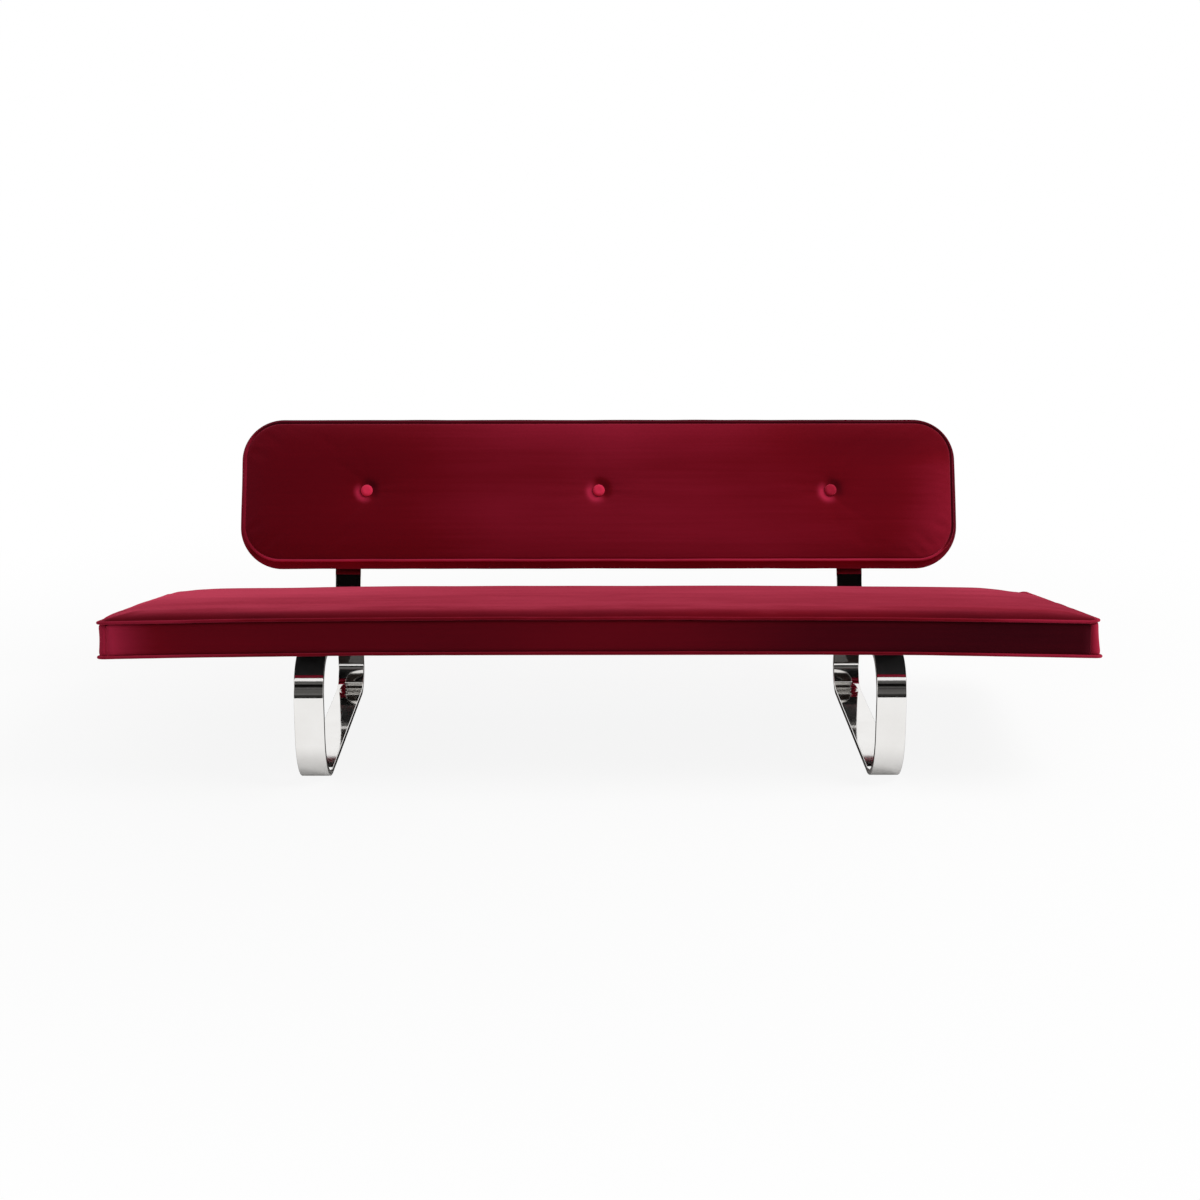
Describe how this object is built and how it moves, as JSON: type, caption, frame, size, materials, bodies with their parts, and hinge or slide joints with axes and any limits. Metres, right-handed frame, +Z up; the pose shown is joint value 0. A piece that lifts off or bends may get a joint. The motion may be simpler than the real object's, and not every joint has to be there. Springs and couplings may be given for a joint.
{
  "type": "low sofa",
  "caption": "Long low sofa with a thin boxed velvet seat sloping to the rear, a tufted velvet back on flat bar uprights and closed loops of polished flat bar as legs.",
  "frame": {"origin": "on the floor, under the middle of the sofa's overall box", "axes": "+X along the sofa, to the right as seen from its front, +Y to the rear, +Z up"},
  "size_m": [2.01, 0.8764, 0.6364],
  "materials": {
    "polished_steel": "polished",
    "velvet": "crimson velvet",
    "velvet_piping": "crimson velvet",
    "foam": "open-cell foam",
    "frame_steel": "black powder coat",
    "webbing": "woven elastic",
    "dust_cloth": "black lining cloth",
    "plywood": "sanded plywood",
    "fasteners": "zinc plated",
    "twine": "waxed twine",
    "glide": "nylon"
  },
  "bodies": {
    "root": {"leg_loop_left": "polished_steel", "leg_loop_right": "polished_steel", "back_upright_left": "polished_steel", "back_upright_right": "polished_steel", "seat_cover_top": "velvet", "seat_boxing_front": "velvet", "seat_boxing_rear": "velvet", "seat_boxing_left": "velvet", "seat_boxing_right": "velvet", "back_cover_front": "velvet", "back_boxing": "velvet", "back_cover_rear": "velvet", "back_button_left": "velvet", "back_button_middle": "velvet", "back_button_right": "velvet", "seat_piping_top": "velvet_piping", "seat_piping_bottom": "velvet_piping", "back_piping_front": "velvet_piping", "back_piping_rear": "velvet_piping", "seat_foam": "foam", "back_foam": "foam", "seat_rail_front": "frame_steel", "seat_rail_rear": "frame_steel", "seat_rail_left": "frame_steel", "seat_rail_right": "frame_steel", "seat_rail_middle": "frame_steel", "seat_cross_rail_left": "frame_steel", "seat_cross_rail_right": "frame_steel", "seat_webbing_cross": "webbing", "seat_webbing_long": "webbing", "seat_dust_cover": "dust_cloth", "back_board": "plywood", "leg_bolts": "fasteners", "leg_washers": "fasteners", "leg_rivet_nuts": "fasteners", "back_bolts": "fasteners", "back_washers": "fasteners", "back_tee_nuts": "fasteners", "back_twine_anchors": "fasteners", "back_twines": "twine", "floor_glides": "glide"}
  },
  "joints": []
}
